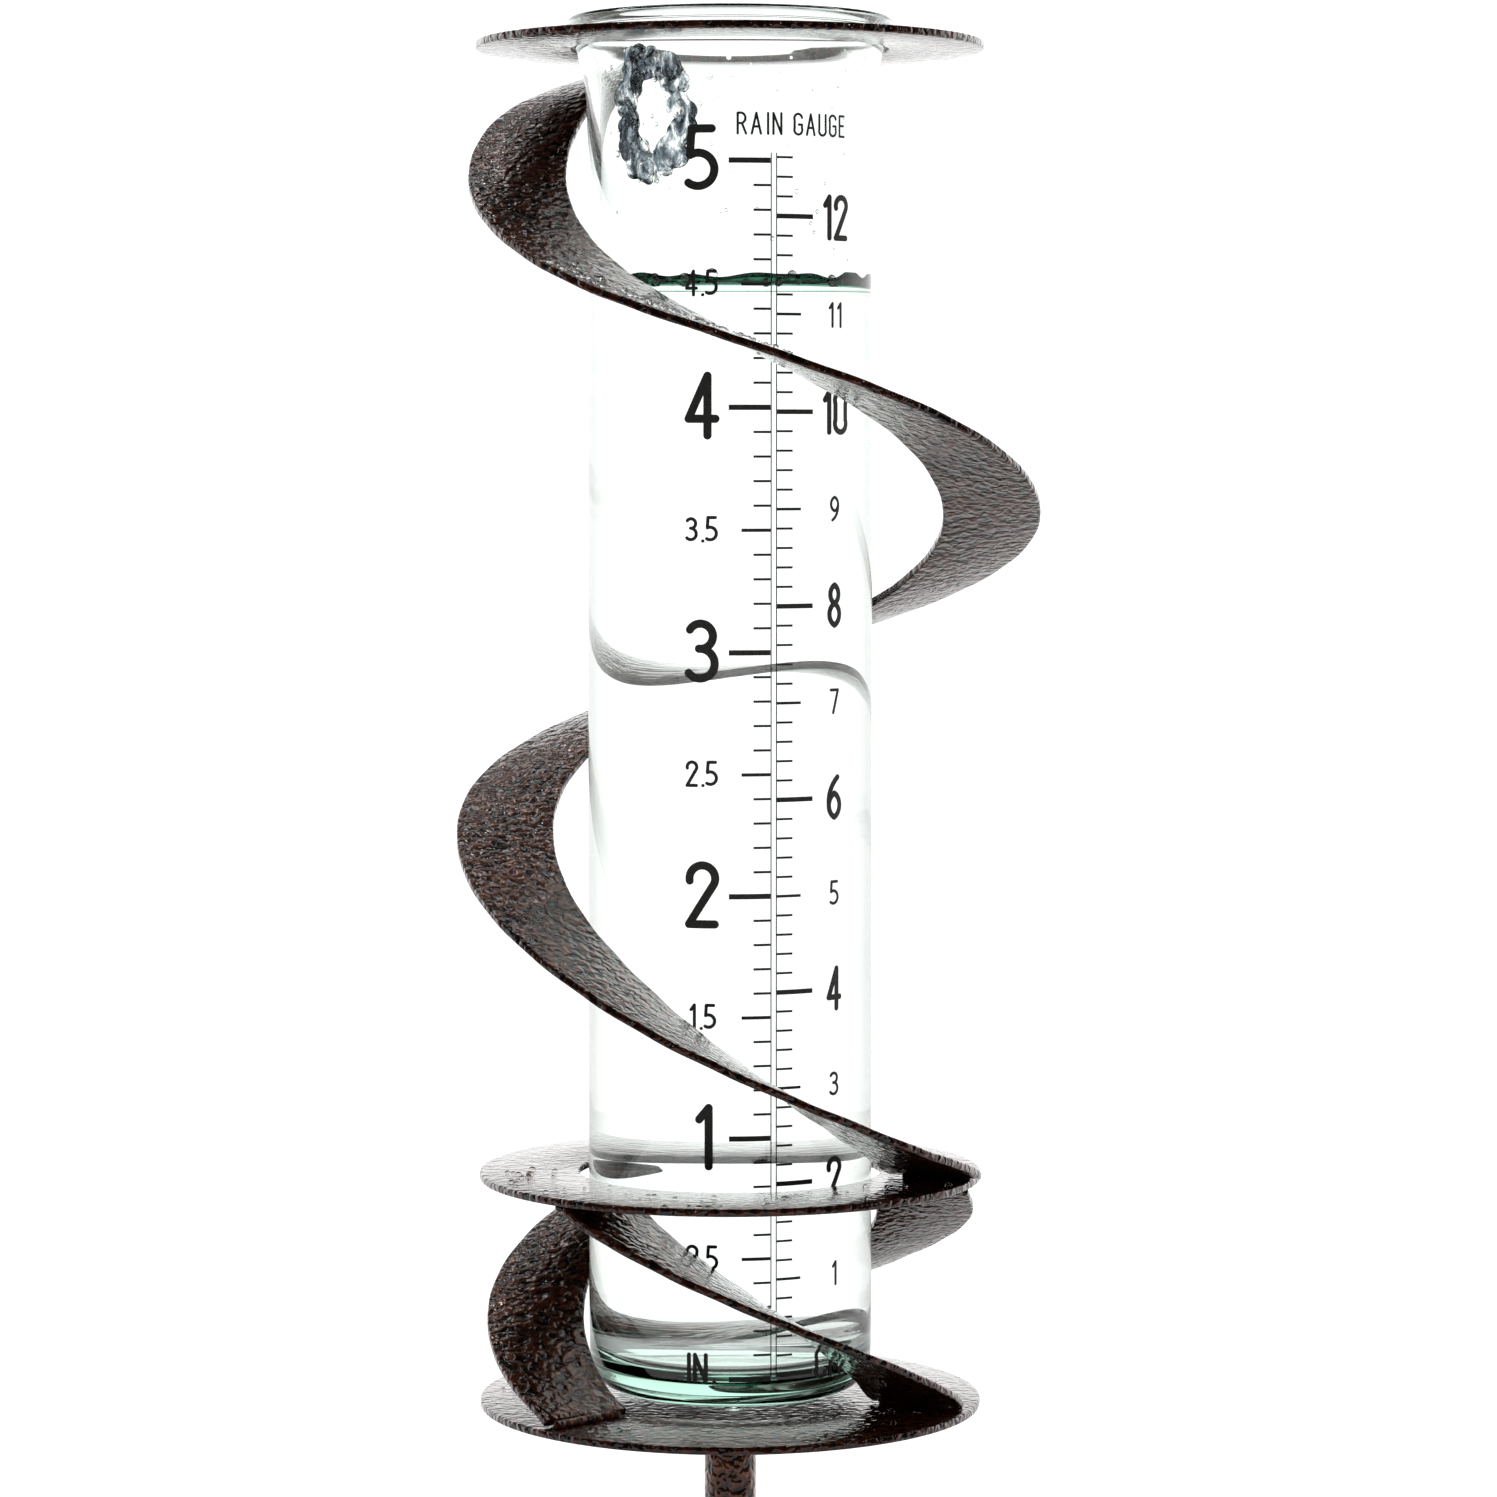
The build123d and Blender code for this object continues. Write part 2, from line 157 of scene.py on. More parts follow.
class RainGaugeSizes(bpy.types.PropertyGroup):
    """Sizes that a user would change."""
    ribbon_width: bpy.props.FloatProperty(
        name="Ribbon width", description="Width of the flat ribbons", default=15.0 * MM, unit="LENGTH")
    edge_round: bpy.props.FloatProperty(
        name="Edge rounding", description="Rounding that the coat gives a cut edge", default=0.32 * MM,
        unit="LENGTH")
    grain: bpy.props.FloatProperty(
        name="Coat grain", description="Width of a wrinkle of the hammered coat", default=1.25 * MM,
        unit="LENGTH")
    grain_depth: bpy.props.FloatProperty(
        name="Coat relief", description="Depth of the coat's bump, drawn deeper than real",
        default=0.5 * MM, unit="LENGTH")
    water_level: bpy.props.FloatProperty(
        name="Water level", description="Height of the rain water above the base disc", default=171.2 * MM,
        unit="LENGTH")
    lathe_steps: bpy.props.IntProperty(
        name="Lathe steps", description="Segments round a turned piece", default=256)


class RainGaugeColours(bpy.types.PropertyGroup):
    """Colours of the finishes, as sRGB hex values."""
    coat_dark: bpy.props.StringProperty(
        name="Coat, dark", description="Dark ground of the powder coat", default="#0a0504")
    coat_bronze: bpy.props.StringProperty(
        name="Coat, bronze", description="Bronze tone of the raised wrinkles", default="#5c311c")
    edge_dark: bpy.props.StringProperty(
        name="Edge, dark", description="Ground of the coat along a cut edge", default="#0e0705")
    edge_bronze: bpy.props.StringProperty(
        name="Edge, red", description="Reddish tone of the thin coat along a cut edge", default="#452014")
    glass_tint: bpy.props.StringProperty(
        name="Glass tint", description="Colour that long paths through the glass take", default="#49ebc0")
    water_edge: bpy.props.StringProperty(
        name="Water edge", description="Green that shows along the edge of the water", default="#33785a")
    # The dark grey of the film is painted refraction of the dark spiral behind it, not a colour of the water.
    wet_film_painted_refraction: bpy.props.StringProperty(
        name="Wet film", description="Dark grey of the thick film of water in the mouth", default="#6f7b84")
    ink: bpy.props.StringProperty(
        name="Ink", description="Screen-printing ink of the scale", default="#211f1d")
    zinc: bpy.props.StringProperty(
        name="Zinc", description="Plating of the stud", default="#a9abaa")
    floor: bpy.props.StringProperty(
        name="Floor", description="Pale studio floor", default="#f4f4f2")


def linear(hex_colour):
    """sRGB hex value as a linear RGBA tuple."""
    channels = [int(hex_colour[i:i + 2], 16) / 255 for i in (1, 3, 5)]
    return tuple(c / 12.92 if c <= 0.04045 else ((c + 0.055) / 1.055) ** 2.4 for c in channels) + (1.0,)


# ---------------------------------------------------------------- materials

def add_node(tree, kind, settings=None, links=None):
    """Adds a node, sets its properties and sockets, and links its inputs from other nodes' outputs.
    A setting named stops places a colour ramp's stops, each a position and an RGBA colour."""
    node = tree.nodes.new(kind)
    for key, value in (settings or {}).items():
        if key == "stops":
            elements = node.color_ramp.elements
            while len(elements) < len(value):
                elements.new(0.5)
            for element, (position, colour) in zip(elements, value):
                element.position = position
                element.color = colour
        elif isinstance(key, int) or key in node.inputs:
            node.inputs[key].default_value = value
        else:
            setattr(node, key, value)
    for key, source in (links or {}).items():
        tree.links.new(source, node.inputs[key])
    return node


def new_material(name):
    material = bpy.data.materials.new(name)
    material.use_nodes = True
    material.node_tree.nodes.clear()
    return material


def grey(value):
    return (value, value, value, 1.0)


def bronze_powder_coat(sizes, colours, name="bronze_hammer_powder_coat", dark=None, bronze=None):
    """Hammer-tone polyester powder coat on steel: clear glossy resin over a dark metallic bronze, shrunk
    into shallow wrinkles about a millimetre apart that break up every highlight."""
    material = new_material(name)
    tree = material.node_tree
    place = add_node(tree, "ShaderNodeTexCoord").outputs["Object"]
    # Wrinkles: rounded cells that run into each other, and a finer orange peel on top of them. The real
    # relief is taken as a tenth of a millimetre, too fine to show, so it is drawn deeper and coarser.
    cells = add_node(tree, "ShaderNodeTexNoise",
                     {"Scale": 1 / sizes.grain, "Detail": 0.6, "Roughness": 0.4, "Distortion": 0.6},
                     {"Vector": place})
    peel = add_node(tree, "ShaderNodeTexNoise", {"Scale": 2.6 / sizes.grain, "Detail": 2.0}, {"Vector": place})
    relief = add_node(tree, "ShaderNodeMix", {"data_type": "FLOAT", "Factor": 0.06},
                      {2: cells.outputs["Fac"], 3: peel.outputs["Fac"]})
    # The level plates look smoother than the ribbons, so the relief is lower there.
    facing = add_node(tree, "ShaderNodeSeparateXYZ", {},
                      {0: add_node(tree, "ShaderNodeNewGeometry").outputs["True Normal"]})
    level = add_node(tree, "ShaderNodeMath", {"operation": "ABSOLUTE"}, {0: facing.outputs["Z"]})
    height = add_node(tree, "ShaderNodeMapRange", {"From Min": 0.93, "To Min": 1.0, "To Max": 0.55},
                      {"Value": level.outputs[0]})
    bump = add_node(tree, "ShaderNodeBump", {"Distance": sizes.grain_depth},
                    {"Height": relief.outputs[0], "Strength": height.outputs["Result"]})
    patch = add_node(tree, "ShaderNodeTexNoise", {"Scale": 1 / (14 * MM), "Detail": 3.0}, {"Vector": place})
    blend = add_node(tree, "ShaderNodeMix", {"data_type": "FLOAT", "Factor": 0.3},
                     {2: cells.outputs["Fac"], 3: patch.outputs["Fac"]})
    tone = add_node(tree, "ShaderNodeValToRGB",
                    {"stops": [(0.4, linear(dark or colours.coat_dark)),
                               (0.62, linear(bronze or colours.coat_bronze))]},
                    {"Fac": blend.outputs[0]})
    rough = add_node(tree, "ShaderNodeMapRange", {"To Min": 0.26, "To Max": 0.4},
                     {"Value": peel.outputs["Fac"]})
    shader = add_node(tree, "ShaderNodeBsdfPrincipled",
                      {"Metallic": 0.85, "Specular IOR Level": 0.1, "Coat Weight": 1.0, "Coat Roughness": 0.05},
                      {"Base Color": tone.outputs["Color"], "Roughness": rough.outputs["Result"],
                       "Normal": bump.outputs["Normal"], "Coat Normal": bump.outputs["Normal"]})
    add_node(tree, "ShaderNodeOutputMaterial", {}, {"Surface": shader.outputs["BSDF"]})
    return material


def coat_on_edge(sizes, colours):
    """The same coat where it thins over a sheared edge and the reddish ground shows through."""
    return bronze_powder_coat(sizes, colours, "bronze_coat_over_cut_edge", colours.edge_dark,
                              colours.edge_bronze)


def clear_glass(colours):
    """Drawn soda-lime glass, fire polished: clear through the wall and green where light runs far in it."""
    material = new_material("clear_soda_lime_glass")
    tree = material.node_tree
    shader = add_node(tree, "ShaderNodeBsdfPrincipled",
                      {"Base Color": grey(1.0), "Transmission Weight": 1.0, "IOR": 1.5, "Roughness": 0.0})
    tint = add_node(tree, "ShaderNodeVolumeAbsorption", {"Color": linear(colours.glass_tint), "Density": 15.0})
    add_node(tree, "ShaderNodeOutputMaterial", {},
             {"Surface": shader.outputs["BSDF"], "Volume": tint.outputs["Volume"]})
    return material


def rain_water():
    """Water with the refraction of fresh rain and no colour of its own."""
    material = new_material("rain_water")
    tree = material.node_tree
    shader = add_node(tree, "ShaderNodeBsdfPrincipled",
                      {"Base Color": grey(1.0), "Transmission Weight": 1.0, "IOR": 1.333, "Roughness": 0.0})
    add_node(tree, "ShaderNodeOutputMaterial", {}, {"Surface": shader.outputs["BSDF"]})
    return material


def water_edge(colours):
    """Edge of the water drawn up the wall. Its green is a tint that stands for the long way through glass."""
    material = new_material("rain_water_edge")
    tree = material.node_tree
    shader = add_node(tree, "ShaderNodeBsdfPrincipled",
                      {"Base Color": linear(colours.water_edge), "Transmission Weight": 1.0, "IOR": 1.333,
                       "Roughness": 0.0})
    add_node(tree, "ShaderNodeOutputMaterial", {}, {"Surface": shader.outputs["BSDF"]})
    return material


def wet_film_painted_refraction(colours):
    """Thick, uneven film of water. The dark streaks and gaps that its slopes would gather from the dark spiral
    behind it are painted refraction, drawn by a pattern, and aren't refracted."""
    material = new_material("rain_water_film_painted_refraction")
    tree = material.node_tree
    place = add_node(tree, "ShaderNodeTexCoord").outputs["Object"]
    # Streaks about two millimetres apart, drawn out along the wall as the film runs down.
    drawn = add_node(tree, "ShaderNodeMapping", {"Scale": (1.0, 1.0, 0.55)}, {"Vector": place})
    streaks = add_node(tree, "ShaderNodeTexNoise",
                       {"Scale": 1 / (2.4 * MM), "Detail": 4.0, "Roughness": 0.6, "Distortion": 1.6},
                       {"Vector": drawn.outputs["Vector"]})
    # Painted refraction: the near-black and the dark grey stops stand for the dark spiral seen through the
    # film; the white stop leaves the water clear.
    tone = add_node(tree, "ShaderNodeValToRGB",
                    {"stops": [(0.4, linear("#171c22")), (0.5, linear(colours.wet_film_painted_refraction)), (0.6, grey(1.0))]},
                    {"Fac": streaks.outputs["Fac"]})
    gaps = add_node(tree, "ShaderNodeMapRange",
                    {"From Min": 0.53, "From Max": 0.58, "To Min": 1.0, "To Max": 0.0},
                    {"Value": streaks.outputs["Fac"]})
    shader = add_node(tree, "ShaderNodeBsdfPrincipled",
                      {"Transmission Weight": 1.0, "IOR": 1.333, "Roughness": 0.0},
                      {"Base Color": tone.outputs["Color"], "Alpha": gaps.outputs["Result"]})
    add_node(tree, "ShaderNodeOutputMaterial", {}, {"Surface": shader.outputs["BSDF"]})
    return material


def screen_ink(colours):
    """Baked ceramic screen ink: dense, slightly dull black with the mesh's faint unevenness."""
    material = new_material("baked_screen_ink")
    tree = material.node_tree
    place = add_node(tree, "ShaderNodeTexCoord").outputs["Object"]
    mesh_mark = add_node(tree, "ShaderNodeTexNoise", {"Scale": 1 / (0.4 * MM), "Detail": 2.0},
                         {"Vector": place})
    tone = add_node(tree, "ShaderNodeValToRGB",
                    {"stops": [(0.3, linear(colours.ink)), (0.8, linear("#3a3833"))]},
                    {"Fac": mesh_mark.outputs["Fac"]})
    shader = add_node(tree, "ShaderNodeBsdfPrincipled", {"Roughness": 0.5},
                      {"Base Color": tone.outputs["Color"]})
    add_node(tree, "ShaderNodeOutputMaterial", {}, {"Surface": shader.outputs["BSDF"]})
    return material


def zinc_plate(colours):
    """Bright zinc plating on a rolled thread: bluish grey metal with fine handling marks."""
    material = new_material("zinc_plated_steel")
    tree = material.node_tree
    place = add_node(tree, "ShaderNodeTexCoord").outputs["Object"]
    marks = add_node(tree, "ShaderNodeTexNoise", {"Scale": 1 / (0.8 * MM), "Detail": 5.0}, {"Vector": place})
    rough = add_node(tree, "ShaderNodeMapRange", {"To Min": 0.22, "To Max": 0.45},
                     {"Value": marks.outputs["Fac"]})
    bump = add_node(tree, "ShaderNodeBump", {"Strength": 0.2, "Distance": 0.03 * MM},
                    {"Height": marks.outputs["Fac"]})
    shader = add_node(tree, "ShaderNodeBsdfPrincipled", {"Base Color": linear(colours.zinc), "Metallic": 1.0},
                      {"Roughness": rough.outputs["Result"], "Normal": bump.outputs["Normal"]})
    add_node(tree, "ShaderNodeOutputMaterial", {}, {"Surface": shader.outputs["BSDF"]})
    return material


# ---------------------------------------------------------------- modelling helpers

def deselect():
    if bpy.context.mode != "OBJECT":
        bpy.ops.object.mode_set(mode="OBJECT")
    bpy.ops.object.select_all(action="DESELECT")


def pick(*objects):
    """Selects these objects alone and makes the first one active."""
    deselect()
    for item in objects:
        item.select_set(True)
    bpy.context.view_layer.objects.active = objects[0]


def settle(piece):
    """Moves a piece's place into its mesh, so that its object sits at the origin."""
    pick(piece)
    bpy.ops.object.transform_apply(location=True, rotation=True, scale=True)


def apply_modifiers(piece):
    pick(piece)
    for modifier in list(piece.modifiers):
        bpy.ops.object.modifier_apply(modifier=modifier.name)


def clean(piece, distance=MERGE):
    """Merges doubles and points the faces outwards."""
    pick(piece)
    bpy.ops.object.mode_set(mode="EDIT")
    bpy.ops.mesh.select_all(action="SELECT")
    bpy.ops.mesh.remove_doubles(threshold=distance)
    bpy.ops.mesh.normals_make_consistent(inside=False)
    bpy.ops.object.mode_set(mode="OBJECT")


def dress(piece, material, body, slot, *nodes):
    """Gives a finished piece its material, its body and the CAD nodes that it stands for; its slot is not used.
    """
    piece.data.materials.clear()
    piece.data.materials.append(material)
    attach(piece, body)
    if nodes:
        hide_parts(*nodes)


def edge_faces(piece, material):
    """Gives the faces of a level or sloping sheet that look sideways the material of its cut edge."""
    piece.data.materials.append(material)
    for face in piece.data.polygons:
        if abs(face.normal.z) < 0.6:
            face.material_index = 1


def coats(context):
    """The coat of the faces and of the cut edges, made once."""
    sizes, colours = context.scene.rain_gauge_sizes, context.scene.rain_gauge_colours
    known = bpy.data.materials
    face = known.get("bronze_hammer_powder_coat") or bronze_powder_coat(sizes, colours)
    edge = known.get("bronze_coat_over_cut_edge") or coat_on_edge(sizes, colours)
    return face, edge


def polar(radius, azimuth, height):
    """Point in metres from millimetres, degrees and a height above the disc in millimetres."""
    angle = math.radians(azimuth)
    return Vector((radius * MM * math.cos(angle), radius * MM * math.sin(angle), DISC_TOP + height * MM))


def lathe(name, outline, steps, closed=True):
    """Turned piece from an outline of (radius, height, rounded) points. Rounded points are smooth."""
    deselect()
    bpy.ops.curve.primitive_bezier_curve_add(location=(0, 0, 0))
    curve = bpy.context.object
    spline = curve.data.splines[0]
    spline.bezier_points.add(len(outline) - len(spline.bezier_points))
    for point, (radius, height, rounded) in zip(spline.bezier_points, outline):
        point.co = (radius, 0, height)
        point.handle_left_type = point.handle_right_type = "AUTO" if rounded else "VECTOR"
    spline.use_cyclic_u = closed
    spline.resolution_u = 6
    pick(curve)
    bpy.ops.object.convert(target="MESH")
    piece = bpy.context.object
    piece.name = piece.data.name = name
    bpy.ops.object.mode_set(mode="EDIT")
    bpy.ops.mesh.select_all(action="SELECT")
    bpy.ops.mesh.spin(steps=steps, angle=FULL_TURN, center=(0, 0, 0), axis=(0, 0, 1))
    bpy.ops.object.mode_set(mode="OBJECT")
    clean(piece)
    pick(piece)
    bpy.ops.object.shade_smooth()
    return piece


# ---------------------------------------------------------------- ribbons

def smooth_value(stations, column, azimuth):
    """Value of a column of the stations at an azimuth, on a smooth curve through them."""
    last = len(stations) - 2
    index = 0
    while index < last and stations[index + 1][0] < azimuth:
        index += 1
    start, end = stations[index], stations[index + 1]
    before = stations[max(index - 1, 0)]
    after = stations[min(index + 2, len(stations) - 1)]
    span = end[0] - start[0]
    part = (azimuth - start[0]) / span
    slope_start = (end[column] - before[column]) / (end[0] - before[0]) * span
    slope_end = (after[column] - start[column]) / (after[0] - start[0]) * span
    rise = end[column] - start[column]
    bend = slope_start + slope_end - 2 * rise
    return start[column] + part * (slope_start + part * (rise - slope_start - bend + part * bend))


def spiral_points():
    """Points of the main spiral's upper outer edge."""
    first, last = SPIRAL_STATIONS[0][0], SPIRAL_STATIONS[-1][0]
    count = round((last - first) / SPIRAL_STEP)
    azimuths = [first + (last - first) * step / count for step in range(count + 1)]
    return [(a, smooth_value(SPIRAL_STATIONS, 1, a), smooth_value(SPIRAL_STATIONS, 2, a)) for a in azimuths]


def lower_points(start, end):
    """Points of a lower ribbon's upper outer edge."""
    top = (MIDDLE_RING_TOP - SHEET - DISC_TOP) / MM
    parts = [step / LOWER_STEPS for step in range(LOWER_STEPS + 1)]
    return [(start + (end - start) * p, top + (RIBBON_DROP - top) * p, LOWER_RADIUS) for p in parts]


def ribbon_guide(points, width):
    """Curve along the middle of a ribbon."""
    deselect()
    bpy.ops.curve.primitive_bezier_curve_add(location=(0, 0, 0))
    guide = bpy.context.object
    guide.data.twist_mode = "Z_UP"
    spline = guide.data.splines[0]
    spline.bezier_points.add(len(points) - len(spline.bezier_points))
    for point, (azimuth, height, radius) in zip(spline.bezier_points, points):
        point.co = polar(radius - RIBBON_INSET - width / MM / 2, azimuth, height - RIBBON_DROP / 2)
        point.handle_left_type = point.handle_right_type = "AUTO"
    spline.resolution_u = 24
    return guide


def flat_bar(name, length, width, thickness, edge_round):
    """Straight bar along X from the origin with rounded long edges, cut into short lengths."""
    bpy.ops.mesh.primitive_cube_add(size=1, location=(length / 2, 0, 0), scale=(length, width, thickness))
    bar = bpy.context.object
    bar.name = bar.data.name = name
    settle(bar)
    bevel = bar.modifiers.new("edges", "BEVEL")
    bevel.width = edge_round
    bevel.segments = 3
    apply_modifiers(bar)
    bpy.ops.object.mode_set(mode="EDIT")
    bpy.ops.mesh.select_all(action="DESELECT")
    slices = max(2, round(length / (1.2 * MM)))
    for index in range(1, slices):
        bpy.ops.mesh.select_all(action="SELECT")
        bpy.ops.mesh.bisect(plane_co=(length * index / slices, 0, 0), plane_no=(1, 0, 0))
    bpy.ops.object.mode_set(mode="OBJECT")
    return bar


def make_ribbon(name, points, sizes, material, edge_material):
    """Steel ribbon: a flat bar rolled along its guide."""
    guide = ribbon_guide(points, sizes.ribbon_width)
    length = guide.data.splines[0].calc_length()
    bar = flat_bar(name + "_sheet", length, sizes.ribbon_width, SHEET, sizes.edge_round)
    roll = bar.modifiers.new("roll", "CURVE")
    roll.object = guide
    roll.deform_axis = "POS_X"
    apply_modifiers(bar)
    bpy.data.objects.remove(guide)
    clean(bar)
    pick(bar)
    bpy.ops.object.shade_smooth_by_angle(angle=math.radians(40))
    dress(bar, material, "holder", "bronze_coat", name)
    edge_faces(bar, edge_material)
    return bar


# ---------------------------------------------------------------- plates, welds and stake

def make_plate(name, top, hole, sizes, material, edge_material):
    """Round plate turned from its section, with or without a hole."""
    r = sizes.edge_round
    k = r * 0.3
    outer = [
        (DISC_RADIUS - r, top - SHEET, False), (DISC_RADIUS - k, top - SHEET + k, True),
        (DISC_RADIUS, top - SHEET + r, False), (DISC_RADIUS, top - r, False),
        (DISC_RADIUS - k, top - k, True), (DISC_RADIUS - r, top, False),
    ]
    if hole:
        inner = [
            (hole + r, top, False), (hole + k, top - k, True), (hole, top - r, False),
            (hole, top - SHEET + r, False), (hole + k, top - SHEET + k, True), (hole + r, top - SHEET, False),
        ]
        plate = lathe(name + "_plate", outer + inner, sizes.lathe_steps)
    else:
        middle = [(0, top, False), (0, top - SHEET, False)]
        plate = lathe(name + "_plate", outer + middle, sizes.lathe_steps)
    pick(plate)
    bpy.ops.object.shade_smooth_by_angle(angle=math.radians(35))
    dress(plate, material, "holder", "bronze_coat", name)
    edge_faces(plate, edge_material)
    return plate


def bead_row(name, places, radius, voxel):
    """Weld bead: overlapping ripples of molten metal that have run together."""
    ripples = []
    for place in places:
        deselect()
        bpy.ops.mesh.primitive_uv_sphere_add(segments=20, ring_count=12, radius=radius, location=place)
        ripples.append(bpy.context.object)
    pick(*ripples)
    bpy.ops.object.join()
    bead = bpy.context.object
    bead.name = bead.data.name = name
    settle(bead)
    run = bead.modifiers.new("run_together", "REMESH")
    run.mode = "VOXEL"
    run.voxel_size = voxel
    ease = bead.modifiers.new("ease", "SMOOTH")
    ease.factor = 0.5
    ease.iterations = 2
    apply_modifiers(bead)
    clean(bead)
    pick(bead)
    bpy.ops.object.shade_smooth()
    return bead


def radial_places(inner, outer, azimuth, height, dice):
    """Middles of a bead's ripples along a radial line, a little uneven as a welder's hand leaves them."""
    count = round((outer - inner) / WELD_RIPPLE)
    places = []
    for step in range(count + 1):
        radius = inner + (outer - inner) * step / count
        places.append(polar(radius, azimuth + dice.uniform(-0.12, 0.12), height + dice.uniform(-0.05, 0.05)))
    return places


def make_rod(name, bottom, top):
    """Plain round bar between two heights."""
    deselect()
    bpy.ops.mesh.primitive_cylinder_add(vertices=96, radius=STAKE_RADIUS, depth=top - bottom,
                                        location=(0, 0, (bottom + top) / 2))
    rod = bpy.context.object
    rod.name = rod.data.name = name
    settle(rod)
    return rod


def select_cap(rod, height):
    """Selects the end face at a height and leaves the rod in edit mode."""
    pick(rod)
    bpy.ops.object.mode_set(mode="EDIT")
    bpy.ops.mesh.select_all(action="DESELECT")
    bpy.ops.object.mode_set(mode="OBJECT")
    for face in rod.data.polygons:
        face.select = abs(face.center.z - height) < 0.01 * MM and abs(face.normal.z) > 0.9
    bpy.ops.object.mode_set(mode="EDIT")
    bpy.ops.mesh.select_mode(type="FACE")


def drill(rod, height, depth, radius):
    """Chamfers the end of a rod and drills a blind hole into it. Depth is positive downwards."""
    select_cap(rod, height)
    bpy.ops.mesh.bevel(offset=STAKE_EDGE, segments=2)
    select_cap(rod, height)
    bpy.ops.mesh.inset(thickness=STAKE_RADIUS - STAKE_EDGE - radius)
    bpy.ops.mesh.extrude_region_move(TRANSFORM_OT_translate={"value": (0, 0, -depth)})
    bpy.ops.mesh.select_all(action="SELECT")
    bpy.ops.mesh.normals_make_consistent(inside=False)
    bpy.ops.object.mode_set(mode="OBJECT")


def finish_rod(rod, material, body, node):
    pick(rod)
    bpy.ops.object.shade_smooth_by_angle(angle=math.radians(35))
    dress(rod, material, body, "bronze_coat", node)


# ---------------------------------------------------------------- glass

def tube_outline():
    """Section of the blown tube: (radius, height, rounded), from the middle of the underside outwards."""
    def point(radius, height, rounded=True):
        return (radius * MM, DISC_TOP + height * MM, rounded)

    return [
        point(0, 2.3, False), point(8.0, 2.15), point(13.5, 1.75), point(16.6, 1.5), point(19.0, 2.05),
        point(20.9, 3.7), point(21.7, 5.6), point(21.85, 7.5), point(21.85, 60.0), point(21.85, 130.0),
        point(21.85, 197.0), point(22.2, 202.2), point(22.9, 205.2), point(23.85, 208.2), point(24.7, 209.3),
        point(25.2, 210.8), point(24.6, 212.1), point(23.7, 212.4), point(22.8, 211.6), point(22.0, 209.0),
        point(21.0, 205.6), point(20.2, 202.2), point(19.85, 197.0), point(19.85, 130.0), point(19.85, 60.0),
        point(19.85, 12.5), point(19.4, 9.9), point(18.0, 7.9), point(15.6, 6.9), point(9.0, 6.75),
        point(0, 6.7, False),
    ]


def water_outline(level):
    """Section of the water, a hair into the glass all round, with its edge drawn up the wall."""
    def point(radius, height, rounded=True):
        return (radius * MM, height, rounded)

    def low(radius, height, rounded=True):
        return (radius * MM, DISC_TOP + height * MM, rounded)

    top = DISC_TOP + level
    return [
        low(0, 6.6, False), low(9.0, 6.65), low(15.7, 6.78), low(18.1, 7.8), low(19.5, 9.85),
        low(19.95, 12.5), low(19.95, 60.0), low(19.95, 130.0), point(19.95, top - 4 * MM),
        point(19.95, top + 1.7 * MM, False), point(19.5, top + 0.7 * MM), point(18.6, top + 0.15 * MM),
        point(16.5, top), point(8.0, top), point(0, top, False),
    ]


# ---------------------------------------------------------------- rain drops

def drop_cluster(name, drops, material, body):
    """Beads of water as one object that isn't part of the gauge. Each drop is a place, the direction that
    it stands off its surface, its radius and its flatness."""
    beads = []
    deselect()
    bpy.ops.mesh.primitive_ico_sphere_add(subdivisions=3, radius=1)
    model = bpy.context.object
    for place, out, radius, flat in drops:
        bead = model.copy()
        bead.data = model.data.copy()
        bpy.context.collection.objects.link(bead)
        bead.matrix_world = (Matrix.Translation(place) @ out.to_track_quat("Z", "Y").to_matrix().to_4x4()
                             @ Matrix.Diagonal((radius, radius, radius * flat, 1)))
        beads.append(bead)
    bpy.data.objects.remove(model)
    pick(*beads)
    bpy.ops.object.transform_apply(location=True, rotation=True, scale=True)
    bpy.ops.object.join()
    cluster = bpy.context.object
    cluster.name = cluster.data.name = name
    bpy.ops.object.shade_smooth()
    cluster.data.materials.append(material)
    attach(cluster, body)
    return cluster


def drops_on_spiral(dice):
    """Drops gathered on the upper turn of the spiral where it passes the front, and strays below."""
    drops = []
    for count, first, last, largest, inner in ((150, 228, 283, 0.62, 8.0), (40, 190, 232, 0.34, 1.0),
                                               (50, 560, 680, 0.3, 1.0), (34, 478, 560, 0.3, 1.0)):
        for _ in range(count):
            azimuth = dice.uniform(first, last)
            outer = smooth_value(SPIRAL_STATIONS, 2, azimuth)
            radius = outer - dice.uniform(0.5, 14.0 - inner)
            height = smooth_value(SPIRAL_STATIONS, 1, azimuth)
            size = largest * dice.uniform(0.4, 1.0) ** 1.5
            drops.append((polar(radius, azimuth, height + size * 0.1), Vector((0, 0, 1)), size * MM, 0.65))
    return drops


def drops_on_plates(dice):
    """Stray drops on the middle ring and the disc."""
    drops = []
    for top, count in ((MIDDLE_RING_TOP, 46), (DISC_TOP, 22)):
        for _ in range(count):
            radius, turn = dice.uniform(25.5, 38.2) * MM, dice.uniform(math.pi * 0.95, FULL_TURN * 0.93)
            size = dice.uniform(0.22, 0.62) * MM
            place = Vector((radius * math.cos(turn), radius * math.sin(turn), top + size * 0.1))
            drops.append((place, Vector((0, 0, 1)), size, 0.8))
    return drops


def on_wall(azimuth, height, size, flat=0.5):
    """Drop on the inside of the tube's wall."""
    out = Vector((math.cos(math.radians(azimuth)), math.sin(math.radians(azimuth)), 0))
    bore = BORE if height < FLARE_START else BORE + (height - FLARE_START) ** 2 * FLARE
    return polar(bore - 0.05, azimuth, height), -out, size * MM, flat


